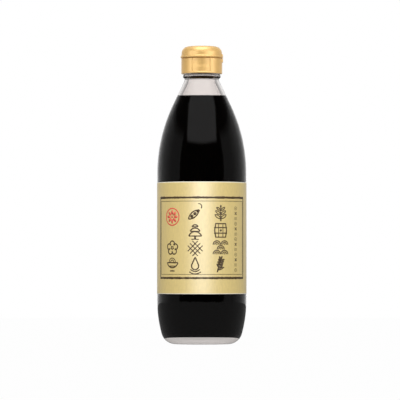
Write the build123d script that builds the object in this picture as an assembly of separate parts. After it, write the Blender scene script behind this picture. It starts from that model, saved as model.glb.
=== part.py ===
from build123d import *
from math import asin, cos, degrees, radians, sin, tan
import os

# A shut glass bottle of soy sauce with a wrap-round label and a flip-top cap.
# Millimetres. +Z is up the bottle's axis, the origin is the middle of the foot,
# and the middle of the label and the thumb recess of the cap face -Y.

# Glass: the straight body
body_radius = 35.0
wall = 3.4
heel_height = 34.0        # height at which the drawn-in heel starts
label_gap_low = 5.4       # bare glass between the heel and the label
label_height = 87.2
label_gap_high = 7.4      # bare glass between the label and the shoulder
label_thickness = 0.12

# Glass: the foot
heel_arc = 98.0           # long curve of the heel
foot_arc = 10.9           # tight curve down to the ring that the bottle rests on
rest_ring_width = 2.2
punt_height = 2.8         # rise of the hollow under the base
floor_thickness = 5.2     # glass under the edge of the inner floor
floor_corner = 7.0
floor_rise = 1.8          # how far the middle of the inner floor domes up

# Glass: shoulder, neck and mouth
shoulder_arc = 123.5
cone_angle = 25.5         # the shoulder's straight cone, measured from the axis
bore_radius = 10.2
bore_fillet = 8.0
neck_wall = 3.4
neck_fillet = 3.0
bead_rise = 1.6           # neck groove below the bead
bead_height = 3.2
bead_proud = 1.05         # beyond the mouth's outside
mouth_wall = 3.7
mouth_height = 10.2       # from the bead's top to the lip that the cap closes
lip_round = 1.0

# Soy sauce
headspace = 12.8          # below the foot of the neck

# Cap: the base that clips over the mouth
skirt_clearance = 0.1     # round the mouth
skirt_wall = 2.1
cap_turn = -2.0           # degrees that the cap sits off the middle of the label
cap_gap = 0.4             # above the bead
deck_thickness = 2.2
skirt_round = 0.4
recess_angle = 53.0       # arc of the thumb recess
recess_depth = 1.0
recess_step = 0.5         # depth of the recess's lower part
recess_sill = 1.0         # full skirt left below the recess
recess_slope_low = 3.2    # start of the slope between the two depths, above the sill
recess_slope_height = 3.3

# Cap: the lid
seam_slit = 0.4           # open line between base and lid
spigot_inset = 1.5        # ring that carries the lid, set in behind the slit
lid_edge_inset = 0.2
lip_proud = 0.65          # the lid's lip, beyond the cap's base
lip_height = 1.8
lid_side_height = 2.5
lid_draft = 5.0           # degrees
lid_corner = 5.4
crown_angle = 4.0         # degrees, slope of the domed top where the corner ends

# Cap: flat straps that bridge the seam, the hinge behind and a grip at the right
strap_height = 6.4
strap_root = 0.6          # how far a strap is let into the cap
hinge_angle = 32.0
side_hinge_angle = 9.0
side_hinge_turn = 34.0
grip_angle = 24.0

# Radii of the neck and cap, from the bore out
neck_radius = bore_radius + neck_wall
mouth_radius = bore_radius + mouth_wall
bead_radius = mouth_radius + bead_proud
cap_radius = mouth_radius + skirt_clearance + skirt_wall
lip_radius = cap_radius + lip_proud

# Heights, from the foot up
label_bottom = heel_height + label_gap_low
label_top = label_bottom + label_height
shoulder_start = label_top + label_gap_high
cone = radians(cone_angle)


def neck_foot(inset, radius):
    """Height at which the shoulder's cone, set in by inset, comes down to a radius."""
    arc = shoulder_arc - inset
    end_radius = body_radius - shoulder_arc + arc * cos(cone)
    end_height = shoulder_start + arc * sin(cone)
    return end_height + (end_radius - radius) / tan(cone)


neck_bottom = neck_foot(0, neck_radius)
bead_bottom = neck_bottom + bead_rise
bead_top = bead_bottom + bead_height
lip_top = bead_top + mouth_height
fill_level = neck_bottom - headspace
cap_bottom = bead_top + cap_gap
rim_height = lip_top + deck_thickness
lid_bottom = rim_height + seam_slit
seam_middle = rim_height + seam_slit / 2
far_out = 2 * cap_radius


def wall_edges(inset, floor, corner):
    """Half section of the wall, from the edge of the floor up to the end of the shoulder arc."""
    heel = heel_arc - inset
    corner_height = floor + corner
    reach = heel - corner
    turn = asin((heel_height - corner_height) / reach)
    corner_radius = body_radius - heel_arc + reach * cos(turn)
    side = body_radius - inset
    return [
        CenterArc((corner_radius, corner_height), corner, -90, 90 - degrees(turn)),
        CenterArc((body_radius - heel_arc, heel_height), heel, -degrees(turn), degrees(turn)),
        Line((side, heel_height), (side, shoulder_start)),
        CenterArc((body_radius - shoulder_arc, shoulder_start), shoulder_arc - inset, 0, cone_angle),
    ]


def spun(edges):
    """The solid that a closed half section makes, turned once round the axis."""
    face = Plane.XZ * make_face(edges)
    return revolve(face, axis=Axis.Z)


def outer_form():
    edges = wall_edges(0, 0, foot_arc)
    ring_outer = edges[0] @ 0
    ring_inner = ring_outer - Vector(rest_ring_width, 0)
    edges += [
        FilletPolyline(
            edges[-1] @ 1,
            (neck_radius, neck_bottom),
            (neck_radius, bead_bottom),
            radius=neck_fillet,
        ),
        ThreePointArc(
            (neck_radius, bead_bottom),
            (bead_radius, (bead_bottom + bead_top) / 2),
            (mouth_radius, bead_top),
        ),
        FilletPolyline(
            (mouth_radius, bead_top),
            (mouth_radius, lip_top),
            (0, lip_top),
            radius=lip_round,
        ),
        Line((0, lip_top), (0, punt_height)),
        TangentArc((0, punt_height), ring_inner, tangent=(1, 0)),
        Line(ring_inner, ring_outer),
    ]
    return spun(edges)


def cavity():
    """The inside of the bottle, from the floor to past the mouth."""
    edges = wall_edges(wall, floor_thickness, floor_corner)
    floor_middle = floor_thickness + floor_rise
    flare = bore_radius + lip_round
    above = lip_top + lip_round
    edges += [
        FilletPolyline(
            edges[-1] @ 1,
            (bore_radius, neck_foot(wall, bore_radius)),
            (bore_radius, lip_top - lip_round),
            radius=bore_fillet,
        ),
        CenterArc((flare, lip_top - lip_round), lip_round, 180, -90),
        Polyline((flare, lip_top), (flare, above), (0, above), (0, floor_middle)),
        TangentArc((0, floor_middle), edges[0] @ 0, tangent=(1, 0)),
    ]
    return spun(edges)


def band(inner, outer, bottom, top):
    """A plain ring round the axis."""
    height = top - bottom
    ring = Cylinder(outer, height, align=(Align.CENTER, Align.CENTER, Align.MIN))
    if inner > 0:
        ring -= Cylinder(inner, height, align=(Align.CENTER, Align.CENTER, Align.MIN))
    return Pos(0, 0, bottom) * ring


def sector(points, angle, turn):
    """A half section swept through an arc that is centred on -Y, then turned to the right."""
    face = Plane.XZ * make_face(Polyline(*points, close=True).edges())
    swept = revolve(face, axis=Axis.Z, revolution_arc=angle)
    return Rot(0, 0, turn - 90 - angle / 2) * swept


def thumb_recess():
    """The cutter for the recess: deep under the lid, then a slope to a shallow lower half."""
    deep = cap_radius - recess_depth
    shallow = cap_radius - recess_step
    sill = cap_bottom + recess_sill
    slope_low = sill + recess_slope_low
    return sector(
        [
            (deep, lid_bottom),
            (deep, slope_low + recess_slope_height),
            (shallow, slope_low),
            (shallow, sill + recess_step),
            (cap_radius, sill),
            (far_out, sill),
            (far_out, lid_bottom),
        ],
        recess_angle,
        cap_turn,
    )


def strap(angle, turn, bottom, top):
    """A flat pad on the outside of the cap, between two heights."""
    root = cap_radius - strap_root
    corners = [(root, bottom), (lip_radius, bottom), (lip_radius, top), (root, top)]
    return sector(corners, angle, turn + cap_turn)


def straps(bottom, top):
    """The hinge behind, a narrow hinge strap each side of it, and the grip at the right."""
    return (
        strap(hinge_angle, 180, bottom, top)
        + strap(side_hinge_angle, 180 - side_hinge_turn, bottom, top)
        + strap(side_hinge_angle, 180 + side_hinge_turn, bottom, top)
        + strap(grip_angle, 90, bottom, top)
    )


def cap_base():
    skirt_bore = mouth_radius + skirt_clearance
    section = FilletPolyline(
        (skirt_bore, cap_bottom),
        (cap_radius, cap_bottom),
        (cap_radius, rim_height),
        (skirt_bore, rim_height),
        radius=skirt_round,
    )
    shell = spun([section, Line((skirt_bore, rim_height), (skirt_bore, cap_bottom))])
    shell += band(0, skirt_bore, lip_top, rim_height)
    shell -= thumb_recess()
    shell += band(0, cap_radius - spigot_inset, lip_top, lid_bottom)
    shell += straps(seam_middle - strap_height / 2, seam_middle)
    return shell


def cap_lid():
    lip_top_height = lid_bottom + lip_height
    draft = radians(lid_draft)
    side_top = cap_radius - lid_side_height * tan(draft)
    side_top_height = lip_top_height + lid_side_height
    corner_radius = side_top - lid_corner * cos(draft)
    corner_height = side_top_height - lid_corner * sin(draft)
    crown = radians(crown_angle)
    crown_arc = corner_radius / sin(crown) + lid_corner
    top = corner_height - (crown_arc - lid_corner) * cos(crown) + crown_arc
    corner_centre = (corner_radius, corner_height)
    corner = CenterArc(corner_centre, lid_corner, lid_draft, 90 - crown_angle - lid_draft)
    lip_bottom = cap_radius - lid_edge_inset
    dome = spun([
        Line((0, lid_bottom), (lip_bottom, lid_bottom)),
        ThreePointArc(
            (lip_bottom, lid_bottom),
            (lip_radius, lid_bottom + lip_height / 2),
            (cap_radius, lip_top_height),
        ),
        Line((cap_radius, lip_top_height), (side_top, side_top_height)),
        corner,
        TangentArc((0, top), corner @ 1, tangent=(1, 0)),
        Line((0, top), (0, lid_bottom)),
    ])
    return dome + straps(seam_middle, seam_middle + strap_height / 2)


def write(part, name):
    part.label = name
    export_step(part, f"parts/{name}.step")


os.makedirs("parts", exist_ok=True)
inside = cavity()
write(outer_form() - inside, "glass_bottle")
write(inside & band(0, body_radius, 0, fill_level), "soy_sauce")
write(band(body_radius, body_radius + label_thickness, label_bottom, label_top), "label")
write(cap_base(), "cap_base")
write(cap_lid(), "cap_lid")
print("fill level", fill_level, "lip", lip_top, "cap", cap_bottom, "seam", seam_middle)
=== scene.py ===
from math import asin, cos, pi, radians, sin, tan
import random

import bmesh
import bpy
from bpy.props import FloatProperty, FloatVectorProperty, IntProperty, PointerProperty
from mathutils import Matrix, Vector


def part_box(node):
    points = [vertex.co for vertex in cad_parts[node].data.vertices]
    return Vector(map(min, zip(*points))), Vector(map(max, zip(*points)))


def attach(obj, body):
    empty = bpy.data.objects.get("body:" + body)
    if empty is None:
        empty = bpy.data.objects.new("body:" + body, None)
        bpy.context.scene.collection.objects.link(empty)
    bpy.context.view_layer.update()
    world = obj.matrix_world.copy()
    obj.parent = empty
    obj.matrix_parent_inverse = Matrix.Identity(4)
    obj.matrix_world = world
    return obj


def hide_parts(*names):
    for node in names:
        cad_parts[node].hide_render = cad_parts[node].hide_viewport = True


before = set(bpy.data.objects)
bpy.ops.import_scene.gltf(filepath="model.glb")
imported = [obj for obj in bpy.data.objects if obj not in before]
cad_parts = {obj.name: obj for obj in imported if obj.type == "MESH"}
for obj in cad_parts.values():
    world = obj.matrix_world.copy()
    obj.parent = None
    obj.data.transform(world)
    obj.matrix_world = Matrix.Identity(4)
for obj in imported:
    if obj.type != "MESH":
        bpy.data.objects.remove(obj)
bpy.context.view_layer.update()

bl_info = {
    "name": "Soy sauce bottle",
    "version": (1, 0, 0),
    "blender": (4, 5, 0),
    "location": "View3D > Sidebar > Bottle",
    "description": "A clear glass bottle of soy sauce with a gold paper label and a flip-top cap",
    "category": "Add Mesh",
}

MM = 0.001

# The cap's straps: the middle of each, in degrees round from the front, and its arc
STRAPS = ((180, 32), (146, 9), (214, 9), (90, 24))

GLASS_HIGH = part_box("glass_bottle")[1]
SAUCE_LOW, SAUCE_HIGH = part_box("soy_sauce")
LABEL_LOW, LABEL_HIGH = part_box("label")
BASE_LOW, BASE_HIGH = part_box("cap_base")
LID_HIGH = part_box("cap_lid")[1]


def length(name, default, description):
    """A length property, in metres."""
    return FloatProperty(name=name, default=default, description=description, unit="LENGTH", precision=5)


def turned(name, degrees_default, description):
    """An angle property; its default is given in degrees."""
    return FloatProperty(
        name=name, default=radians(degrees_default), description=description, subtype="ANGLE"
    )


def colour(name, default, description):
    """A linear colour property."""
    return FloatVectorProperty(
        name=name, default=default, size=3, min=0.0, max=1.0, subtype="COLOR", description=description
    )


class BottleSizes(bpy.types.PropertyGroup):
    """The glass and the sauce"""

    body_radius: length("Body radius", GLASS_HIGH.x, "Outside of the straight body")
    wall: length("Wall", GLASS_HIGH.x - SAUCE_HIGH.x, "Glass thickness of the body")
    heel_height: length("Heel height", 34 * MM, "Where the drawn-in heel starts")
    heel_arc: length("Heel arc", 98 * MM, "Radius of the heel's long curve")
    foot_arc: length("Foot arc", 10.9 * MM, "Radius of the curve down to the foot")
    ring_width: length("Foot ring", 2.2 * MM, "Width of the ring that the bottle rests on")
    punt_height: length("Punt", 2.8 * MM, "Rise of the hollow under the base")
    floor_corner: length("Floor corner", 7 * MM, "Inside radius between wall and floor")
    floor_rise: length("Floor rise", 1.8 * MM, "Doming of the inner floor")
    shoulder_start: length("Shoulder start", LABEL_HIGH.z + 7.4 * MM, "Where the shoulder starts")
    shoulder_arc: length("Shoulder arc", 123.5 * MM, "Radius of the shoulder's long curve")
    cone_angle: turned("Shoulder cone", 25.5, "Slope of the shoulder's cone, measured from the axis")
    bore_radius: length("Bore", 10.2 * MM, "Radius of the bore")
    bore_fillet: length("Bore fillet", 8 * MM, "Rounding between the inner cone and the bore")
    neck_radius: length("Neck", 13.6 * MM, "Outside of the neck")
    bead_radius: length("Bead", 14.95 * MM, "Outside of the ring under the cap")
    mouth_radius: length("Mouth", 13.9 * MM, "Outside of the mouth")
    neck_fillet: length("Neck fillet", 3 * MM, "Rounding between the cone and the neck")
    bead_rise: length("Bead rise", 1.6 * MM, "Height of the groove under the ring")
    bead_height: length("Bead height", 3.2 * MM, "Height of the ring under the cap")
    lip_round: length("Lip rounding", 1 * MM, "Rounding of the mouth's lip")
    overlap: length("Sauce overlap", 0.12 * MM, "How far the sauce reaches into the glass")
    climb: length("Climb", 0.4 * MM, "How far the sauce climbs the glass at its level")
    segments: IntProperty(name="Segments", default=192, min=32, description="Steps round the axis")


class CapSizes(bpy.types.PropertyGroup):
    """The flip-top cap"""

    radius: length("Radius", 16.1 * MM, "Outside of the cap's base")
    lip: length("Lip", 16.75 * MM, "Outside of the lid's lip and of the straps")
    recess_depth: length("Recess", 1.0 * MM, "Depth of the thumb recess under the lid")
    recess_step: length("Recess step", 0.5 * MM, "Depth of the recess's lower part")
    recess_angle: turned("Recess arc", 53, "Arc of the thumb recess")
    recess_sill: length("Recess sill", 1.0 * MM, "Full skirt under the recess")
    slope_low: length("Slope start", 3.2 * MM, "Where the recess deepens, above its sill")
    slope_high: length("Slope end", 6.5 * MM, "Where the recess has its full depth, above its sill")
    turn: turned("Cap turn", -2, "How far the cap sits off the middle of the label")
    clearance: length("Clearance", 0.1 * MM, "Room between the mouth and the cap's bore")
    skirt_foot: length("Skirt foot", 0.9 * MM, "Flat width of the skirt's lower edge")
    skirt_round: length("Skirt rounding", 0.4 * MM, "Rounding of the skirt's lower edge")
    rim_round: length("Rim rounding", 0.3 * MM, "Rounding of the rim under the lid")
    spigot_inset: length("Spigot inset", 1.5 * MM, "How far the ring in the slit sits in")
    lip_height: length("Lip height", 1.8 * MM, "Height of the lid's lip")
    side_height: length("Lid side", 2.5 * MM, "Height of the lid's side above its lip")
    draft: turned("Draft", 5, "Lean of the lid's side")
    corner: length("Lid corner", 5.4 * MM, "Rounding of the lid's corner")
    crown: turned("Crown", 4, "Slope of the domed top where the corner ends")
    slit: length("Slit", 0.4 * MM, "Open line between base and lid")
    strap_height: length("Strap height", 6.4 * MM, "Height of the straps across the slit")
    segments: IntProperty(name="Segments", default=360, min=90, description="Steps round the axis")


class LabelSizes(bpy.types.PropertyGroup):
    """The paper and its print"""

    thickness: length("Paper", 0.12 * MM, "Thickness of the paper")
    lap: length("Lap", 8 * MM, "Overlap of the paper's ends at the back")
    margin: length("Cut edge", 0.5 * MM, "Bare paper along the cut edges")
    columns: IntProperty(name="Columns", default=240, min=60, description="Steps round the bottle")
    ink: length("Ink", 0.04 * MM, "How far the print stands proud")
    stroke: length("Stroke", 0.98 * MM, "Width of a drawn line")
    frame_half: length("Frame half width", 40.3 * MM, "From the middle of the label to the frame's side")
    frame_low: length("Frame bottom", 51.9 * MM, "Height of the frame's lower line")
    frame_high: length("Frame top", 114.3 * MM, "Height of the frame's upper line")
    frame_line: length("Frame line", 1.7 * MM, "Width of the frame's brushed lines")
    cell: length("Cell", 13.2 * MM, "Height of one ornament's cell")
    motif: length("Ornament unit", 0.97 * MM, "Size of one unit of an ornament's drawing")
    seed: IntProperty(name="Seed", default=7, description="Seed of the frame's uneven edges")


class StageSizes(bpy.types.PropertyGroup):
    """Floor, camera and light levels"""

    floor_radius: length("Floor radius", 1.2, "Radius of the white floor")
    floor_drop: length("Floor drop", 0.3 * MM, "How far the floor lies under the foot")
    lens: FloatProperty(name="Lens", default=275, description="The camera's focal length in millimetres")
    distance: length("Distance", 2.4, "From the camera to the bottle's axis")
    eye: length("Eye", 0.063, "Height of the camera")
    aim_side: length("Aim to the side", -1.4 * MM, "How far right of the axis the camera aims")
    aim_height: length("Aim height", 0.113, "Height that the camera aims at")
    plain: FloatProperty(name="Plain light", default=0.62, description="Level of the light on dull surfaces")
    backdrop: FloatProperty(
        name="Backdrop", default=0.975, max=1.0, description="Share of plain white in the floor as it is seen"
    )


class Finishes(bpy.types.PropertyGroup):
    """Base colours"""

    glass: colour("Glass", (0.935, 0.895, 0.875), "Tint of the clear glass")
    sauce: colour("Sauce", (0.0035, 0.0018, 0.0010), "The dark sauce")
    paper: colour("Paper", (0.70, 0.53, 0.165), "The label's gold")
    ink: colour("Ink", (0.065, 0.036, 0.010), "Dark brown print")
    seal: colour("Seal", (0.66, 0.10, 0.055), "Red print")
    cap: colour("Cap", (0.83, 0.52, 0.18), "The cap's gold")


# Shader nodes


def feed(tree, socket, source):
    """Sets a socket to a value, or links another socket to it."""
    if isinstance(source, bpy.types.NodeSocket):
        tree.links.new(source, socket)
    else:
        socket.default_value = source


def maths(tree, operation, first, second=0.5):
    """The result of one sum on two values; a single-valued operation leaves the second alone."""
    node = tree.nodes.new("ShaderNodeMath")
    node.operation = operation
    feed(tree, node.inputs[0], first)
    feed(tree, node.inputs[1], second)
    return node.outputs["Value"]


def mapped(tree, value, start, end, low=0.0, high=1.0):
    """Runs from low to high while a value runs from start to end."""
    node = tree.nodes.new("ShaderNodeMapRange")
    node.inputs["From Min"].default_value = start
    node.inputs["From Max"].default_value = end
    node.inputs["To Min"].default_value = low
    node.inputs["To Max"].default_value = high
    tree.links.new(value, node.inputs["Value"])
    return node.outputs["Result"]


def mixed(tree, factor, first, second):
    """A colour that goes from the first to the second with a factor."""
    node = tree.nodes.new("ShaderNodeMix")
    node.data_type = "RGBA"
    feed(tree, node.inputs[0], factor)
    feed(tree, node.inputs[6], first)
    feed(tree, node.inputs[7], second)
    return node.outputs[2]


def grey(level):
    """An opaque grey; a level of 1 is white."""
    return (level, level, level, 1)


def nodes_of(material):
    """The node tree of a new material and its main shader."""
    material.use_nodes = True
    tree = material.node_tree
    return tree, tree.nodes["Principled BSDF"]


def noise(tree, scale, detail=2.0, stretch=(1, 1, 1)):
    """A noise pattern on Object coordinates, its features about 1 / scale metres."""
    place = tree.nodes.new("ShaderNodeTexCoord")
    mapping = tree.nodes.new("ShaderNodeMapping")
    mapping.inputs["Scale"].default_value = stretch
    pattern = tree.nodes.new("ShaderNodeTexNoise")
    pattern.inputs["Scale"].default_value = scale
    pattern.inputs["Detail"].default_value = detail
    tree.links.new(place.outputs["Object"], mapping.inputs["Vector"])
    tree.links.new(mapping.outputs["Vector"], pattern.inputs["Vector"])
    return pattern.outputs["Fac"]


def between(tree, factor, low, high):
    """A colour that runs from low to high with a factor."""
    ramp = tree.nodes.new("ShaderNodeValToRGB")
    ramp.color_ramp.elements[0].position = 0.3
    ramp.color_ramp.elements[0].color = (*low, 1)
    ramp.color_ramp.elements[1].position = 0.7
    ramp.color_ramp.elements[1].color = (*high, 1)
    tree.links.new(factor, ramp.inputs["Fac"])
    return ramp.outputs["Color"]


def relief(tree, shader, height, strength, distance):
    """Fine unevenness of a surface; distance is its depth in metres."""
    bump = tree.nodes.new("ShaderNodeBump")
    bump.inputs["Strength"].default_value = strength
    bump.inputs["Distance"].default_value = distance
    tree.links.new(height, bump.inputs["Height"])
    tree.links.new(bump.outputs["Normal"], shader.inputs["Normal"])


def shade(base, share):
    """A colour made darker or lighter."""
    return tuple(min(1.0, channel * share) for channel in base)


# Materials


def glass_material(finish):
    """Clear glass with the slight waviness of a blown bottle."""
    material = bpy.data.materials.new("clear_glass")
    tree, shader = nodes_of(material)
    shader.inputs["Base Color"].default_value = (*finish.glass, 1)
    shader.inputs["Transmission Weight"].default_value = 1.0
    shader.inputs["Roughness"].default_value = 0.0
    shader.inputs["IOR"].default_value = 1.51
    relief(tree, shader, noise(tree, 55.0, 1.0, (1, 1, 0.4)), 0.25, 0.0004)
    return material


def sauce_material(finish):
    """The sauce against the glass, where it shows no gloss of its own."""
    material = bpy.data.materials.new("dark_sauce")
    tree, shader = nodes_of(material)
    low = shade(finish.sauce, 0.8)
    high = shade(finish.sauce, 1.3)
    tree.links.new(between(tree, noise(tree, 30.0), low, high), shader.inputs["Base Color"])
    shader.inputs["Roughness"].default_value = 0.05
    shader.inputs["Specular IOR Level"].default_value = 0.05
    return material


def meniscus_material(finish):
    """The sauce's open top, glossy and painted a lighter brown: the sauce's own brown, lightened as painted
    light for the light that passes through the sauce where it is thin.
    """
    material = bpy.data.materials.new("sauce_top")
    tree, shader = nodes_of(material)
    # Painted light: the sauce's colour lightened 12 to 18 times, standing in for light through the thin sauce
    # at its level
    low = shade(finish.sauce, 12.0)
    high = shade(finish.sauce, 18.0)
    tree.links.new(between(tree, noise(tree, 40.0), low, high), shader.inputs["Base Color"])
    shader.inputs["Roughness"].default_value = 0.03
    shader.inputs["IOR"].default_value = 1.38
    return material


def foot_material():
    """The sauce's underside, with painted light: it is painted pale and glows a little, in place of the light
    that the thick clear base gathers.
    """
    material = bpy.data.materials.new("lit_underside")
    tree, shader = nodes_of(material)
    # Painted light: a pale colour on the dark sauce's underside, standing in for the light gathered in the
    # clear base
    pale = between(tree, noise(tree, 60.0), (0.60, 0.57, 0.55), (0.75, 0.72, 0.70))
    tree.links.new(pale, shader.inputs["Base Color"])
    shader.inputs["Roughness"].default_value = 0.2
    shader.inputs["Emission Color"].default_value = (0.95, 0.92, 0.90, 1)
    shader.inputs["Emission Strength"].default_value = 0.45
    return material


def paper_material(finish):
    """Gold paper with a satin sheen and fine upright fibres."""
    material = bpy.data.materials.new("gold_paper")
    tree, shader = nodes_of(material)
    fibre = noise(tree, 900.0, 4.0, (1, 1, 0.35))
    low = shade(finish.paper, 0.94)
    high = shade(finish.paper, 1.06)
    tree.links.new(between(tree, fibre, low, high), shader.inputs["Base Color"])
    tree.links.new(mapped(tree, fibre, 0, 1, 0.42, 0.52), shader.inputs["Roughness"])
    shader.inputs["Metallic"].default_value = 0.0
    shader.inputs["Coat Weight"].default_value = 1.0
    shader.inputs["Coat Roughness"].default_value = 0.46
    shader.inputs["Coat IOR"].default_value = 2.4
    relief(tree, shader, fibre, 0.12, 0.00015)
    return material


def edge_material():
    """The bare margin of the paper, just inside its cut edges."""
    material = bpy.data.materials.new("paper_edge")
    tree, shader = nodes_of(material)
    fibre = noise(tree, 1500.0)
    tree.links.new(between(tree, fibre, (0.80, 0.74, 0.60), (0.88, 0.83, 0.70)), shader.inputs["Base Color"])
    shader.inputs["Roughness"].default_value = 0.6
    return material


def ink_material(name, base):
    """Satin ink with a fine grain."""
    material = bpy.data.materials.new(name)
    tree, shader = nodes_of(material)
    grain = noise(tree, 1400.0, 3.0)
    tree.links.new(between(tree, grain, shade(base, 0.75), shade(base, 1.3)), shader.inputs["Base Color"])
    shader.inputs["Roughness"].default_value = 0.5
    shader.inputs["Coat Weight"].default_value = 0.5
    shader.inputs["Coat Roughness"].default_value = 0.42
    return material


def cap_material(finish):
    """Gold-coloured plastic, half metallic."""
    material = bpy.data.materials.new("gold_plastic")
    tree, shader = nodes_of(material)
    cloud = noise(tree, 160.0, 3.0)
    low = shade(finish.cap, 0.94)
    high = shade(finish.cap, 1.05)
    tree.links.new(between(tree, cloud, low, high), shader.inputs["Base Color"])
    tree.links.new(mapped(tree, noise(tree, 500.0), 0, 1, 0.34, 0.42), shader.inputs["Roughness"])
    shader.inputs["Metallic"].default_value = 0.35
    shader.inputs["Coat Weight"].default_value = 0.4
    shader.inputs["Coat Roughness"].default_value = 0.22
    relief(tree, shader, noise(tree, 140.0, 1.0), 0.15, 0.0003)
    return material


# Mesh helpers


def arc(centre, radius, start, end, steps):
    """Points of an arc in the half section, angles in radians from the outward direction."""
    angles = [start + (end - start) * i / steps for i in range(steps + 1)]
    return [(centre[0] + radius * cos(a), centre[1] + radius * sin(a)) for a in angles]


def straight(start, end, steps):
    """Points between two ends of the half section, without the ends themselves."""
    shares = [i / steps for i in range(1, steps)]
    return [(start[0] + (end[0] - start[0]) * s, start[1] + (end[1] - start[1]) * s) for s in shares]


def corner(before, point, after, radius, steps=10):
    """The rounding of a corner of the half section between two straight lines."""
    into = (Vector(before) - Vector(point)).normalized()
    out = (Vector(after) - Vector(point)).normalized()
    half = into.angle(out) / 2
    centre = Vector(point) + (into + out).normalized() * (radius / sin(half))
    start = Vector(point) + into * (radius / tan(half)) - centre
    end = Vector(point) + out * (radius / tan(half)) - centre
    turn = start.angle_signed(end)
    return [tuple(centre + Matrix.Rotation(-turn * i / steps, 2) @ start) for i in range(steps + 1)]


def spun(mesh, points, steps):
    """The surface that a half section makes, turned once round the axis."""
    verts = [mesh.verts.new((r, 0, z)) for r, z in points]
    edges = [mesh.edges.new(pair) for pair in zip(verts, verts[1:])]
    bmesh.ops.spin(
        mesh, geom=verts + edges, cent=(0, 0, 0), axis=(0, 0, 1), angle=2 * pi, steps=steps, use_merge=True
    )
    bmesh.ops.remove_doubles(mesh, verts=mesh.verts, dist=1e-6)
    bmesh.ops.recalc_face_normals(mesh, faces=mesh.faces)


def piece(mesh, name, materials, node=None):
    """Turns a finished bmesh into an object that rides on the bottle."""
    data = bpy.data.meshes.new(name)
    mesh.to_mesh(data)
    mesh.free()
    data.shade_smooth()
    for material in materials:
        data.materials.append(material)
    shape = bpy.data.objects.new(name, data)
    bpy.context.scene.collection.objects.link(shape)
    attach(shape, "root")
    if node:
        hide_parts(node)
    return shape


def smooth(low, high, value):
    """0 below low, 1 above high and a smooth step between."""
    share = min(1.0, max(0.0, (value - low) / (high - low)))
    return share * share * (3 - 2 * share)


# Glass and sauce


def wall_points(sizes, inset, floor, rounding):
    """Half section of the wall from the edge of the floor to the end of the shoulder arc."""
    heel = sizes.heel_arc - inset
    reach = heel - rounding
    turn = asin((sizes.heel_height - floor - rounding) / reach)
    heel_centre = (sizes.body_radius - sizes.heel_arc, sizes.heel_height)
    foot_centre = (heel_centre[0] + reach * cos(turn), floor + rounding)
    side = sizes.body_radius - inset
    shoulder_centre = (sizes.body_radius - sizes.shoulder_arc, sizes.shoulder_start)
    points = arc(foot_centre, rounding, -pi / 2, -turn, 14)
    points += arc(heel_centre, heel, -turn, 0, 16)[1:]
    points += straight((side, sizes.heel_height), (side, sizes.shoulder_start), 12)
    points += arc(shoulder_centre, sizes.shoulder_arc - inset, 0, sizes.cone_angle, 28)
    return points


def neck_foot(sizes, end, radius):
    """Height at which the shoulder's cone comes down to a radius."""
    return end[1] + (end[0] - radius) / tan(sizes.cone_angle)


def dome(edge, middle, steps):
    """A shallow dome from the edge of a floor to the axis."""
    rise = middle - edge[1]
    radius = (edge[0] ** 2 + rise**2) / (2 * rise)
    spread = asin(edge[0] / radius)
    return [
        (radius * sin(a), middle - radius + radius * cos(a))
        for a in (spread * (1 - i / steps) for i in range(1, steps + 1))
    ]


def outer_points(sizes, lip):
    """Half section of the outside, from the foot up to the lip."""
    points = wall_points(sizes, 0, 0, sizes.foot_arc)
    neck = (sizes.neck_radius, neck_foot(sizes, points[-1], sizes.neck_radius))
    bead_low = neck[1] + sizes.bead_rise
    bead_high = bead_low + sizes.bead_height
    points += straight(points[-1], neck, 8)[:-1]
    points += corner(points[-1], neck, (neck[0], bead_low), sizes.neck_fillet)
    half = sizes.bead_height / 2
    bulge = sizes.bead_radius - sizes.neck_radius
    radius = (half**2 + bulge**2) / (2 * bulge)
    opening = asin(half / radius)
    points += arc((sizes.bead_radius - radius, bead_low + half), radius, -opening, opening, 14)
    points[-1] = (sizes.mouth_radius, bead_high)
    rounding = sizes.lip_round
    points += straight(points[-1], (sizes.mouth_radius, lip - rounding), 4)
    points += arc((sizes.mouth_radius - rounding, lip - rounding), rounding, 0, pi / 2, 6)
    return points


def inner_points(sizes, lip, inset):
    """Half section of a surface set in by inset, from the edge of the inner floor up to the lip."""
    floor = SAUCE_LOW.z - (sizes.wall - inset)
    points = wall_points(sizes, inset, floor, sizes.floor_corner)
    neck = (sizes.bore_radius, neck_foot(sizes, points[-1], sizes.bore_radius))
    points += straight(points[-1], neck, 12)[:-3]
    points += corner(points[-1], neck, (neck[0], lip), sizes.bore_fillet)
    rounding = sizes.lip_round
    points += straight(points[-1], (sizes.bore_radius, lip - rounding), 6)
    points += arc((sizes.bore_radius + rounding, lip - rounding), rounding, pi, pi / 2, 6)
    return points


class OBJECT_OT_bottle_glass(bpy.types.Operator):
    """Make the hollow glass bottle, from its foot ring to the lip under the cap"""

    bl_idname = "object.bottle_glass"
    bl_label = "Glass bottle"

    def execute(self, context):
        sizes = context.scene.bottle_sizes
        lip = GLASS_HIGH.z
        outer = outer_points(sizes, lip)
        inner = inner_points(sizes, lip, sizes.wall)
        floor = dome(inner[0], SAUCE_LOW.z + sizes.floor_rise, 8)
        ring = (outer[0][0] - sizes.ring_width, 0.0)
        punt = dome(ring, sizes.punt_height, 10)
        section = punt[::-1] + [ring] + outer + inner[::-1] + floor
        mesh = bmesh.new()
        spun(mesh, section, sizes.segments)
        glass = glass_material(context.scene.bottle_finishes)
        piece(mesh, "glass_body", [glass], "glass_bottle")
        return {"FINISHED"}


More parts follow.
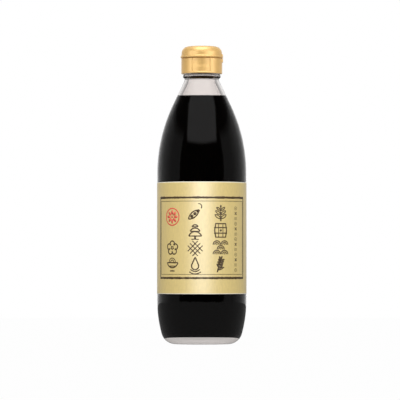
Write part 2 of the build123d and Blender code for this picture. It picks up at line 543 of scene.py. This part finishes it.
class OBJECT_OT_bottle_sauce(bpy.types.Operator):
    """Make the soy sauce, which reaches just into the glass and climbs it a little at its level"""

    bl_idname = "object.bottle_sauce"
    bl_label = "Soy sauce"

    def execute(self, context):
        sizes = context.scene.bottle_sizes
        level = SAUCE_HIGH.z
        inner = inner_points(sizes, GLASS_HIGH.z, sizes.wall - sizes.overlap)
        side = [p for p in inner if p[1] < level - 0.8 * MM]
        last = side[-1]
        wall_slope = tan(sizes.cone_angle)
        rim = last[0] - (level - last[1]) * wall_slope
        flat = level - sizes.climb
        climb = [(rim, level), (rim - 0.5 * MM, flat + 0.1 * MM), (rim - 1.5 * MM, flat)]
        top = climb + [(rim * share, flat) for share in (0.7, 0.4, 0.0)]
        floor = dome(side[0], SAUCE_LOW.z + sizes.floor_rise - sizes.overlap, 8)
        mesh = bmesh.new()
        spun(mesh, floor[::-1] + side + top, sizes.segments)
        # Upward faces take the top, painted lighter brown, and downward faces take the underside, painted
        # pale and glowing: both are painted light
        for face in mesh.faces:
            face.material_index = int(face.normal.z > 0.6)
            if face.normal.z < -0.8:
                face.material_index = 2
        finish = context.scene.bottle_finishes
        materials = [sauce_material(finish), meniscus_material(finish), foot_material()]
        piece(mesh, "sauce_body", materials, "soy_sauce")
        return {"FINISHED"}


# Cap


def round_relief(mesh, push):
    """Moves each point out along its radius by push(angle from the front, height)."""
    for vert in mesh.verts:
        flat = Vector((vert.co.x, vert.co.y))
        if flat.length < 1e-4:
            continue
        azimuth = flat.angle_signed(Vector((0, -1)))
        moved = flat + flat.normalized() * push(azimuth, vert.co.z, flat.length)
        vert.co.x = moved.x
        vert.co.y = moved.y


def window(azimuth, centre, width, edge):
    """1 inside an arc of the cap, 0 outside, with an edge that wide; angles in radians."""
    away = abs((azimuth - centre + pi) % (2 * pi) - pi)
    return 1 - smooth(width / 2 - edge / 2, width / 2 + edge / 2, away)


def strap_window(azimuth, turn):
    """1 on the hinge behind, its two side straps and the grip at the right."""
    edge = radians(2)
    return max(window(azimuth, radians(at) + turn, radians(wide), edge) for at, wide in STRAPS)


class OBJECT_OT_bottle_cap_base(bpy.types.Operator):
    """Make the cap's base, with the thumb recess in front and the lower half of its straps"""

    bl_idname = "object.bottle_cap_base"
    bl_label = "Cap base"

    def execute(self, context):
        cap = context.scene.bottle_cap
        neck = context.scene.bottle_sizes
        low = BASE_LOW.z
        rim = BASE_HIGH.z - cap.slit
        bore = neck.mouth_radius + cap.clearance
        deck = GLASS_HIGH.z
        spigot = cap.radius - cap.spigot_inset
        corner_low = cap.skirt_round
        corner_high = cap.rim_round
        section = [(0, deck), (bore * 0.5, deck), (bore, deck)]
        section += straight((bore, deck), (bore, low), 6) + [(bore, low), (bore + cap.skirt_foot, low)]
        section += arc((cap.radius - corner_low, low + corner_low), corner_low, -pi / 2, 0, 5)
        section += straight(section[-1], (cap.radius, rim - corner_high), 40)
        section += arc((cap.radius - corner_high, rim - corner_high), corner_high, 0, pi / 2, 5)
        lid = rim + cap.slit
        section += [(spigot, rim), (spigot, lid), (spigot * 0.5, lid), (0, lid)]
        mesh = bmesh.new()
        spun(mesh, section, cap.segments)
        sill = low + cap.recess_sill
        strap_low = (BASE_HIGH.z - cap.slit / 2) - cap.strap_height / 2

        def push(azimuth, height, radius):
            if radius < spigot + 0.2 * MM or (height < low + 0.1 * MM and radius < bore + 1 * MM):
                return 0.0
            rise = height - sill
            depth = cap.recess_step * smooth(0, 0.5 * MM, rise)
            depth += (cap.recess_depth - cap.recess_step) * smooth(cap.slope_low, cap.slope_high, rise)
            recess = depth * window(azimuth, cap.turn, cap.recess_angle, radians(1.6))
            strap = smooth(strap_low - 0.2 * MM, strap_low + 0.2 * MM, height)
            strap *= strap_window(azimuth, cap.turn)
            return (cap.lip - cap.radius) * strap - recess

        round_relief(mesh, push)
        piece(mesh, "cap_base_shell", [cap_material(context.scene.bottle_finishes)], "cap_base")
        return {"FINISHED"}


class OBJECT_OT_bottle_cap_lid(bpy.types.Operator):
    """Make the cap's domed lid, with its lip and the upper half of the straps"""

    bl_idname = "object.bottle_cap_lid"
    bl_label = "Cap lid"

    def execute(self, context):
        cap = context.scene.bottle_cap
        low = BASE_HIGH.z
        top = LID_HIGH.z
        draft = cap.draft
        crown = cap.crown
        rounding = cap.corner
        side_top = (cap.radius - cap.side_height * tan(draft), low + cap.lip_height + cap.side_height)
        centre = (side_top[0] - rounding * cos(draft), side_top[1] - rounding * sin(draft))
        bulge = cap.lip - cap.radius
        half = cap.lip_height / 2
        lip_arc = (half**2 + bulge**2) / (2 * bulge)
        opening = asin(half / lip_arc)
        section = [(0, low), (cap.radius * 0.5, low), (cap.radius - 1 * MM, low)]
        section += arc((cap.lip - lip_arc, low + half), lip_arc, -opening, opening, 10)
        section += straight(section[-1], side_top, 10)
        section += arc(centre, rounding, draft, pi / 2 - crown, 18)
        crown_arc = centre[0] / sin(crown) + rounding
        section += arc((0, top - crown_arc), crown_arc, pi / 2 - crown, pi / 2, 12)[1:]
        mesh = bmesh.new()
        spun(mesh, section, cap.segments)
        strap_top = low - cap.slit / 2 + cap.strap_height / 2

        def push(azimuth, height, radius):
            strap = 1 - smooth(strap_top - 0.3 * MM, strap_top + 0.3 * MM, height)
            strap *= strap_window(azimuth, cap.turn)
            return max(0.0, cap.lip - radius) * strap if radius > cap.radius - 0.9 * MM else 0.0

        round_relief(mesh, push)
        piece(mesh, "cap_lid_shell", [cap_material(context.scene.bottle_finishes)], "cap_lid")
        return {"FINISHED"}


# Label


def bend(mesh, radius):
    """Wraps flat work, x along the label and z up, round the bottle; y is the height off the paper."""
    for vert in mesh.verts:
        angle = vert.co.x / radius
        reach = radius - vert.co.y
        vert.co.x = reach * sin(angle)
        vert.co.y = -reach * cos(angle)


class OBJECT_OT_bottle_label(bpy.types.Operator):
    """Make the paper label, wrapped once round the body with a lap at the back"""

    bl_idname = "object.bottle_label"
    bl_label = "Paper label"

    def execute(self, context):
        label = context.scene.bottle_label
        radius = GLASS_HIGH.x
        turn = 2 * pi * radius
        margin = label.margin
        height = LABEL_HIGH.z - LABEL_LOW.z
        bands = 12
        rows = [margin + (height - 2 * margin) * i / bands for i in range(bands + 1)]
        rows = [0.0] + rows + [height]
        mesh = bmesh.new()
        verts = [mesh.verts.new((-turn / 2, 0, LABEL_LOW.z + row)) for row in rows]
        edge = [mesh.edges.new(pair) for pair in zip(verts, verts[1:])]
        step = (turn + label.lap) / label.columns
        for _ in range(label.columns):
            grown = bmesh.ops.extrude_edge_only(mesh, edges=edge)["geom"]
            moved = [g for g in grown if isinstance(g, bmesh.types.BMVert)]
            bmesh.ops.translate(mesh, verts=moved, vec=(step, 0, 0))
            edge = [g for g in grown if isinstance(g, bmesh.types.BMEdge)]
        for vert in mesh.verts:
            lift = smooth(turn / 2 - 1.5 * MM, turn / 2 + 0.5 * MM, vert.co.x)
            vert.co.y = -lift * (label.thickness + 0.02 * MM) - 0.004 * MM
        bend(mesh, radius)
        bmesh.ops.recalc_face_normals(mesh, faces=mesh.faces)
        first = next(iter(mesh.faces))
        outward = first.calc_center_median()
        outward.z = 0
        if first.normal.dot(outward) < 0:
            bmesh.ops.reverse_faces(mesh, faces=mesh.faces)
        for face in mesh.faces:
            height_at = face.calc_center_median().z
            near = min(height_at - LABEL_LOW.z, LABEL_HIGH.z - height_at)
            face.material_index = int(near < margin)
        finish = context.scene.bottle_finishes
        paper = piece(mesh, "label_paper", [paper_material(finish), edge_material()], "label")
        wall = paper.modifiers.new("paper", "SOLIDIFY")
        wall.thickness = label.thickness
        wall.offset = 1.0
        wall.use_even_offset = True
        return {"FINISHED"}


class Pen:
    """Draws ribbons on the flat label: straight runs, turns, rings and dots. Lengths are in metres."""

    def __init__(self, width):
        self.mesh = bmesh.new()
        self.width = width
        self.edge = None
        self.place = Vector((0, 0, 0))
        self.heading = 0.0

    def start(self, x, z, heading, width=None):
        """Puts the pen down; heading is in degrees, 0 to the right and 90 up."""
        self.place = Vector((x, 0, z))
        self.heading = radians(heading)
        half = (width or self.width) / 2
        side = Vector((-sin(self.heading), 0, cos(self.heading))) * half
        ends = [self.mesh.verts.new(self.place + side), self.mesh.verts.new(self.place - side)]
        self.edge = self.mesh.edges.new(ends)
        return self

    def grow(self):
        """Draws out a new edge where the last one is, ready to be moved."""
        grown = bmesh.ops.extrude_edge_only(self.mesh, edges=[self.edge])["geom"]
        self.edge = next(g for g in grown if isinstance(g, bmesh.types.BMEdge))
        return [g for g in grown if isinstance(g, bmesh.types.BMVert)]

    def resize(self, verts, share):
        """Widens or narrows the newest edge about the pen."""
        for vert in verts:
            vert.co = self.place + (vert.co - self.place) * share

    def run(self, distance, taper=1.0):
        """Draws straight on, in steps short enough to bend; taper is the end width's share of the start's."""
        steps = max(1, round(abs(distance) / (1.2 * MM)))
        forward = Vector((cos(self.heading), 0, sin(self.heading))) * (distance / steps)
        for _ in range(steps):
            verts = self.grow()
            bmesh.ops.translate(self.mesh, verts=verts, vec=forward)
            self.place += forward
            self.resize(verts, taper ** (1 / steps))
        return self

    def turn(self, radius, degrees_turned, taper=1.0):
        """Draws an arc, to the left for a positive angle."""
        angle = radians(degrees_turned)
        steps = max(2, round(abs(degrees_turned) / 15))
        side = 1 if angle > 0 else -1
        centre = self.place + Vector((-sin(self.heading), 0, cos(self.heading))) * radius * side
        spin = Matrix.Rotation(-angle / steps, 4, "Y")
        for _ in range(steps):
            verts = self.grow()
            bmesh.ops.rotate(self.mesh, verts=verts, cent=centre, matrix=spin)
            self.place = centre + spin @ (self.place - centre)
            self.resize(verts, taper ** (1 / steps))
        self.heading += angle
        return self

    def ring(self, x, z, radius, width=None, arc=360, heading=90):
        """A ring, or an arc of one, round a centre; heading is where its right-hand end points."""
        first = radians(heading - 90)
        self.start(x + radius * cos(first), z + radius * sin(first), heading, width)
        return self.turn(radius, arc)

    def dot(self, x, z, radius, stretch=1.0, tilt=0.0):
        """A filled dot, or a leaf or bean where it is stretched along its tilt."""
        place = Matrix.Translation((x, 0, z)) @ Matrix.Rotation(-radians(tilt), 4, "Y")
        shape = place @ Matrix.Diagonal((stretch, 1, 1, 1)) @ Matrix.Rotation(pi / 2, 4, "X")
        bmesh.ops.create_circle(self.mesh, cap_ends=True, segments=18, radius=radius, matrix=shape)
        return self

    def leaf(self, x, z, heading, size, belly=38):
        """An outlined leaf from its stalk to its tip: two arcs that meet."""
        chord = size / (2 * sin(radians(belly)))
        for side in (1, -1):
            self.start(x, z, heading - side * belly, self.width * 0.8).turn(chord, side * 2 * belly)
        return self


def sprig(pen, x, z, s):
    """A stem with pairs of outlined leaves."""
    pen.start(x, z - 6.2 * s, 90, pen.width * 1.2).run(11 * s, 0.5)
    for at, size in ((-4.2, 6.0), (-0.8, 5.4), (2.4, 4.4)):
        pen.leaf(x, z + at * s, 32, size * s)
        pen.leaf(x, z + at * s, 148, size * s)
    pen.dot(x, z + 5.6 * s, 0.7 * s, 1.7, 90)


def cask(pen, x, z, s):
    """An upright cask with hoops and staves."""
    for side in (-1, 1):
        pen.start(x + side * 4.4 * s, z - 5.4 * s, 90 - side * 18).turn(17.5 * s, side * 36)
    for at, half in ((-5.4, 4.7), (-2.2, 5.8), (2.2, 5.8), (5.4, 4.7)):
        pen.start(x - half * s, z + at * s, 0, pen.width * 0.9).run(2 * half * s)
    for at in (-1.9, 1.9):
        pen.start(x + at * s, z - 5.2 * s, 90, pen.width * 0.6).run(10.4 * s)
    pen.dot(x, z, 0.9 * s)


def waves(pen, x, z, s):
    """Rows of nested wave arcs."""
    for centre, at in ((-3.4, 2.2), (3.4, 2.2), (0.0, -1.6), (-3.4, -5.4), (3.4, -5.4)):
        for radius in (3.1, 1.75):
            pen.ring(x + centre * s, z + at * s, radius * s, pen.width * 0.85, 180)
        pen.dot(x + centre * s, z + (at + 0.35) * s, 0.55 * s)


def grain_ear(pen, x, z, s):
    """A bending ear of grain with a blade at its foot."""
    pen.start(x - 3.0 * s, z - 6.2 * s, 82, pen.width * 1.1).turn(26 * s, -24, 0.7)
    for i in range(4):
        height = -2.4 + 1.9 * i
        across = -1.5 + 0.5 * i
        for side in (-1, 1):
            pen.leaf(x + across * s, z + height * s, 74 - 4 * i - side * 50, 3.4 * s, 30)
    pen.leaf(x + 0.3 * s, z + 4.4 * s, 68, 2.4 * s, 24)
    pen.leaf(x - 2.8 * s, z - 4.6 * s, 22, 6.2 * s, 20)


def bean_pod(pen, x, z, s):
    """A pod with three beans on a curl of stem."""
    for side in (1, -1):
        pen.start(x - 5.4 * s, z - 3.8 * s, 40 + side * 42).turn(8.4 * s, -side * 84)
    for i in range(3):
        pen.dot(x + (-2.6 + 2.5 * i) * s, z + (-1.5 + 2.1 * i) * s, 1.25 * s, 1.15, 40)
    pen.start(x + 4.8 * s, z + 4.9 * s, 50, pen.width).turn(2.2 * s, 150, 0.6)


def drop(pen, x, z, s):
    """A falling drop over two ripples."""
    pen.ring(x, z - 0.4 * s, 2.9 * s, None, 229.2, 245.4).run(6.35 * s)
    pen.start(x, z + 6.55 * s, 245.4).run(6.35 * s)
    for radius, arc in ((5.0, 96), (7.0, 84)):
        pen.ring(x, z + 0.2 * s, radius * s, pen.width * 0.9, arc, -arc / 2)


def lattice(pen, x, z, s):
    """A diamond of crossed lines with a dot in each field."""
    for i in (-1, 0, 1):
        for slope in (1, -1):
            left = x + (1.9 * i - 4.1) * s
            level = z - slope * (1.9 * i + 4.1) * s
            pen.start(left, level, slope * 45, pen.width * 0.75).run(11.6 * s)
    for dx, dz in ((0, 0), (3.8, 0), (-3.8, 0), (0, 3.8), (0, -3.8)):
        pen.dot(x + dx * s, z + dz * s, 0.7 * s)


def tree(pen, x, z, s):
    """A round-tiered evergreen on its trunk."""
    for at, half in ((4.0, 2.6), (0.6, 4.2), (-3.0, 5.6)):
        pen.ring(x, z + (at - half * 0.5) * s, half * s, pen.width, 136, 112)
        pen.start(x - half * 0.93 * s, z + (at - half * 0.125) * s, 0, pen.width * 0.9).run(half * 1.86 * s)
    pen.start(x, z - 6.4 * s, 90, pen.width * 1.6).run(2.8 * s, 0.9)
    pen.start(x - 3 * s, z - 6.3 * s, 0, pen.width * 0.8).run(6 * s)


def blossom(pen, x, z, s):
    """A five-petalled blossom."""
    for i in range(5):
        tilt = 90 + 72 * i
        out = radians(tilt)
        between_petals = radians(tilt + 36)
        pen.ring(x + 3.3 * s * cos(out), z + 3.3 * s * sin(out), 2.3 * s, pen.width, 250, tilt - 35)
        pen.dot(x + 1.7 * s * cos(between_petals), z + 1.7 * s * sin(between_petals), 0.35 * s)
    pen.ring(x, z, 1.0 * s, pen.width * 0.8)


def dish(pen, x, z, s):
    """A footed dish with ripples in it."""
    pen.start(x - 5.8 * s, z + 1.8 * s, 0, pen.width).run(11.6 * s)
    pen.start(x - 5.6 * s, z + 1.6 * s, -68, pen.width).turn(6.1 * s, 136)
    pen.start(x - 2.4 * s, z - 4.8 * s, 0, pen.width).run(4.8 * s)
    for radius in (1.6, 3.2):
        pen.ring(x, z + 2.3 * s, radius * s, pen.width * 0.7, 180)
    pen.start(x - 3.2 * s, z - 0.9 * s, 0, pen.width * 0.7).run(6.4 * s)


def brushed_line(pen, half, level, thick, draw):
    """A thick level line whose width wanders as a dry brush's does."""
    step = Vector((0.9 * MM, 0, 0))
    wander = 1.0
    pen.start(-half, level, 0, thick)
    for _ in range(round(2 * half / step.x)):
        verts = pen.grow()
        bmesh.ops.translate(pen.mesh, verts=verts, vec=step)
        pen.place += step
        wander = 0.6 * wander + 0.4 * draw.uniform(0.72, 1.22)
        for vert in verts:
            edge = draw.uniform(0.86, 1.14) * wander * thick / 2
            vert.co.z = level + (edge if vert.co.z > level else -edge)


def brush_frame(pen, label):
    """The label's frame: a thick brushed line outside and a thin one inside."""
    half = label.frame_half
    low = label.frame_low
    high = label.frame_high
    thick = label.frame_line
    inset_side = 1.3 * MM
    inset_level = 2.8 * MM
    thin = 0.3 * MM
    draw = random.Random(label.seed)
    for level in (low, high):
        brushed_line(pen, half, level, thick, draw)
    for side in (-1, 1):
        pen.start(side * half, low - thick / 2, 90, 1.15 * MM).run(high - low + thick)
        inner_low = low + inset_level - 0.2 * MM
        pen.start(side * (half - inset_side), inner_low, 90, thin).run(high - low - 2 * (inner_low - low))
    for level in (low + inset_level, high - inset_level):
        pen.start(-half + 1.2 * MM, level, 0, 0.38 * MM).run(2 * half - 2.4 * MM)


def petals(pen, x, z, count, first, reach, radius):
    """Pointed dots that stand round a centre; first is the angle of the first one."""
    for i in range(count):
        tilt = first + 360 * i / count
        out = radians(tilt)
        pen.dot(x + reach * cos(out), z + reach * sin(out), radius, 1.7, tilt)


def bead_row(pen, x, low, high):
    """The narrow column of fine ornaments at the right."""
    count = 13
    pitch = (high - low) / count
    for i in range(count):
        z = low + pitch * (i + 0.5)
        if i % 3 == 0:
            pen.ring(x, z, 1.25 * MM, 0.3 * MM)
            pen.dot(x, z, 0.4 * MM)
        elif i % 3 == 1:
            for shift in (-0.8, 0.0, 0.8):
                pen.start(x - 1.5 * MM, z + shift * MM, 0, 0.28 * MM).run(3 * MM)
        else:
            petals(pen, x, z, 4, 45, 0.85 * MM, 0.42 * MM)


def printed(mesh, name, material, label):
    """Bends flat print round the paper and gives it the thickness of ink."""
    bmesh.ops.remove_doubles(mesh, verts=mesh.verts, dist=1e-7)
    for face in mesh.faces:
        face.normal_update()
    backward = [face for face in mesh.faces if face.normal.y > 0]
    bmesh.ops.reverse_faces(mesh, faces=backward)
    bend(mesh, GLASS_HIGH.x + label.thickness)
    shape = piece(mesh, name, [material], None)
    wall = shape.modifiers.new("ink", "SOLIDIFY")
    wall.thickness = label.ink * 2
    wall.offset = 0.0
    return shape


class OBJECT_OT_bottle_print(bpy.types.Operator):
    """Draw the label's dark print: the frame, two tall columns of ornaments, a short one and a fine one"""

    bl_idname = "object.bottle_print"
    bl_label = "Label print"

    def execute(self, context):
        label = context.scene.bottle_label
        finish = context.scene.bottle_finishes
        pen = Pen(label.stroke)
        brush_frame(pen, label)
        columns = (
            (15.2 * MM, 102.0 * MM, (sprig, cask, waves, grain_ear)),
            (-5.2 * MM, 101.2 * MM, (bean_pod, tree, lattice, drop)),
            (-25.0 * MM, 75.2 * MM, (blossom, dish)),
        )
        for x, top, motifs in columns:
            for i, motif in enumerate(motifs):
                motif(pen, x, top - label.cell * i, label.motif)
        bead_row(pen, 29.8 * MM, 56 * MM, 108 * MM)
        printed(pen.mesh, "label_print", ink_material("brown_ink", finish.ink), label)
        return {"FINISHED"}


class OBJECT_OT_bottle_seal(bpy.types.Operator):
    """Print the plain round red seal at the label's upper left"""

    bl_idname = "object.bottle_seal"
    bl_label = "Red seal"

    def execute(self, context):
        label = context.scene.bottle_label
        pen = Pen(1.0 * MM)
        x, z = -25.0 * MM, 99.4 * MM
        pen.ring(x, z, 6.6 * MM, 1.0 * MM)
        petals(pen, x, z, 8, 0, 3.45 * MM, 1.1 * MM)
        pen.dot(x, z, 0.95 * MM)
        ink = ink_material("red_ink", context.scene.bottle_finishes.seal)
        printed(pen.mesh, "label_seal", ink, label)
        return {"FINISHED"}


# Stage


def area_light(name, place, target, size, power, linked):
    """A soft rectangular lamp that lights only the linked pieces."""
    data = bpy.data.lights.new(name, "AREA")
    data.shape = "RECTANGLE"
    data.size, data.size_y = size
    data.energy = power
    lamp = bpy.data.objects.new(name, data)
    bpy.context.scene.collection.objects.link(lamp)
    lamp.location = place
    aim = Vector(target) - Vector(place)
    lamp.rotation_euler = aim.to_track_quat("-Z", "Y").to_euler()
    receivers = bpy.data.collections.new(name + "_lit")
    for shape in linked:
        receivers.objects.link(bpy.data.objects[shape])
    lamp.light_linking.receiver_collection = receivers


def panel_ramp(tree, depth):
    """The studio's level by how far a direction points to the back: 0 is the camera's side, 1 is behind."""
    node = tree.nodes.new("ShaderNodeValToRGB")
    elements = node.color_ramp.elements
    stops = ((0.235, 0.01), (0.25, 0.15), (0.47, 0.14), (0.74, 0.28), (0.90, 0.55))
    elements[0].position = 0.0
    elements[0].color = grey(0.01)
    elements[1].position = 1.0
    elements[1].color = grey(1.0)
    for at, level in stops:
        elements.new(at).color = grey(level)
    tree.links.new(depth, node.inputs["Fac"])
    return node.outputs["Color"]


def studio(tree):
    """What gloss and glass see: dark in front, pale panels at the sides, a softbox above and white behind."""
    place = tree.nodes.new("ShaderNodeTexCoord")
    split = tree.nodes.new("ShaderNodeSeparateXYZ")
    tree.links.new(place.outputs["Generated"], split.inputs["Vector"])
    across, back, up = split.outputs
    panels = tree.nodes.new("ShaderNodeVectorMath")
    panels.operation = "SCALE"
    tree.links.new(panel_ramp(tree, mapped(tree, back, -1, 1)), panels.inputs[0])
    # The side panels end below the shoulder's reflections
    tree.links.new(mapped(tree, up, 0.38, 0.50, 1.0, 0.12), panels.inputs["Scale"])
    above = mapped(tree, up, sin(radians(22)), sin(radians(25)))
    within = mapped(tree, maths(tree, "ABSOLUTE", across), 0.66, 0.60)
    softbox = maths(tree, "MULTIPLY", above, within)
    brightness = mapped(tree, up, 0.86, 0.97, 0.42, 1.6)
    return mixed(tree, softbox, panels.outputs["Vector"], brightness)


def world_setup(plain_level):
    """White to the camera and straight through glass, the studio in gloss, a plain level on dull surfaces."""
    world = bpy.data.worlds.new("studio")
    bpy.context.scene.world = world
    world.use_nodes = True
    tree = world.node_tree
    tree.nodes.clear()
    ray = tree.nodes.new("ShaderNodeLightPath").outputs
    shiny = maths(tree, "MAXIMUM", ray["Is Glossy Ray"], ray["Is Transmission Ray"])
    bounces = maths(tree, "ADD", ray["Diffuse Depth"], ray["Glossy Depth"])
    through = maths(tree, "MULTIPLY", ray["Is Transmission Ray"], maths(tree, "LESS_THAN", bounces))
    direct = maths(tree, "MAXIMUM", ray["Is Camera Ray"], through)
    level = mixed(tree, shiny, grey(plain_level), studio(tree))
    background = tree.nodes.new("ShaderNodeBackground")
    tree.links.new(mixed(tree, direct, level, grey(1.0)), background.inputs["Color"])
    output = tree.nodes.new("ShaderNodeOutputWorld")
    tree.links.new(background.outputs["Background"], output.inputs["Surface"])


def blended(tree, factor, first, second):
    """One shader laid over another."""
    node = tree.nodes.new("ShaderNodeMixShader")
    tree.links.new(factor, node.inputs["Fac"])
    tree.links.new(first, node.inputs[1])
    tree.links.new(second, node.inputs[2])
    return node.outputs["Shader"]


def emission(tree, strength):
    """A white glow."""
    node = tree.nodes.new("ShaderNodeEmission")
    node.inputs["Strength"].default_value = strength
    return node.outputs["Emission"]


def floor_material(backdrop):
    """A floor that shows white and a faint shadow, also through glass, and is dim in reflections."""
    material = bpy.data.materials.new("white_floor")
    material.use_nodes = True
    tree = material.node_tree
    tree.nodes.clear()
    paint = tree.nodes.new("ShaderNodeBsdfDiffuse")
    paint.inputs["Color"].default_value = grey(0.9)
    ray = tree.nodes.new("ShaderNodeLightPath").outputs
    seen = maths(tree, "MAXIMUM", ray["Is Camera Ray"], ray["Is Transmission Ray"])
    share = maths(tree, "MULTIPLY", seen, backdrop)
    surface = blended(tree, share, paint.outputs["BSDF"], emission(tree, 1.0))
    surface = blended(tree, ray["Is Glossy Ray"], surface, emission(tree, 0.16))
    output = tree.nodes.new("ShaderNodeOutputMaterial")
    tree.links.new(surface, output.inputs["Surface"])
    return material


class OBJECT_OT_bottle_stage(bpy.types.Operator):
    """Set the white floor, the studio light and the camera"""

    bl_idname = "object.bottle_stage"
    bl_label = "Stage"

    def execute(self, context):
        stage = context.scene.bottle_stage
        mesh = bmesh.new()
        bmesh.ops.create_circle(mesh, cap_ends=True, segments=96, radius=stage.floor_radius)
        data = bpy.data.meshes.new("floor")
        mesh.to_mesh(data)
        mesh.free()
        data.materials.append(floor_material(stage.backdrop))
        floor = bpy.data.objects.new("floor", data)
        floor.location = (0, 0, -stage.floor_drop)
        context.scene.collection.objects.link(floor)
        world_setup(stage.plain)
        label = ["label_paper", "label_print", "label_seal"]
        cap = ["cap_base_shell", "cap_lid_shell"]
        area_light("label_softbox", (0, -1.5, 0.5), (0, 0, 0.1), (1.2, 0.6), 15.5, label)
        area_light("cap_left", (-1.25, -1.0, 0.5), (0, 0, 0.22), (1.6, 1.2), 10, cap)
        area_light("cap_right", (1.2, -1.0, 0.5), (0, 0, 0.22), (1.6, 1.2), 12, cap)
        area_light("top_softbox", (0, -0.35, 1.3), (0, 0, 0.2), (1.0, 1.0), 8, label + cap)
        camera = bpy.data.objects.new("camera", bpy.data.cameras.new("camera"))
        camera.data.lens = stage.lens
        camera.data.clip_end = 20
        camera.location = (0, -stage.distance, stage.eye)
        aim = Vector((stage.aim_side, 0, stage.aim_height)) - camera.location
        camera.rotation_euler = aim.to_track_quat("-Z", "Y").to_euler()
        context.scene.collection.objects.link(camera)
        context.scene.camera = camera
        context.scene.view_settings.view_transform = "Standard"
        return {"FINISHED"}


class VIEW3D_PT_bottle(bpy.types.Panel):
    """The bottle's pieces, in the order in which they are made"""

    bl_idname = "VIEW3D_PT_bottle"
    bl_label = "Soy sauce bottle"
    bl_space_type = "VIEW_3D"
    bl_region_type = "UI"
    bl_category = "Bottle"

    def draw(self, context):
        for operator in OPERATORS:
            self.layout.operator(operator.bl_idname)


OPERATORS = (
    OBJECT_OT_bottle_glass,
    OBJECT_OT_bottle_sauce,
    OBJECT_OT_bottle_label,
    OBJECT_OT_bottle_print,
    OBJECT_OT_bottle_seal,
    OBJECT_OT_bottle_cap_base,
    OBJECT_OT_bottle_cap_lid,
    OBJECT_OT_bottle_stage,
)
GROUPS = {
    "bottle_sizes": BottleSizes,
    "bottle_cap": CapSizes,
    "bottle_label": LabelSizes,
    "bottle_stage": StageSizes,
    "bottle_finishes": Finishes,
}


def register():
    for cls in (*GROUPS.values(), *OPERATORS, VIEW3D_PT_bottle):
        bpy.utils.register_class(cls)
    for name, group in GROUPS.items():
        setattr(bpy.types.Scene, name, PointerProperty(type=group))


def unregister():
    for name in GROUPS:
        delattr(bpy.types.Scene, name)
    for cls in (VIEW3D_PT_bottle, *reversed(OPERATORS), *GROUPS.values()):
        bpy.utils.unregister_class(cls)


def main():
    register()
    for operator in OPERATORS:
        group, name = operator.bl_idname.split(".")
        getattr(getattr(bpy.ops, group), name)()


if __name__ == "__main__":
    main()
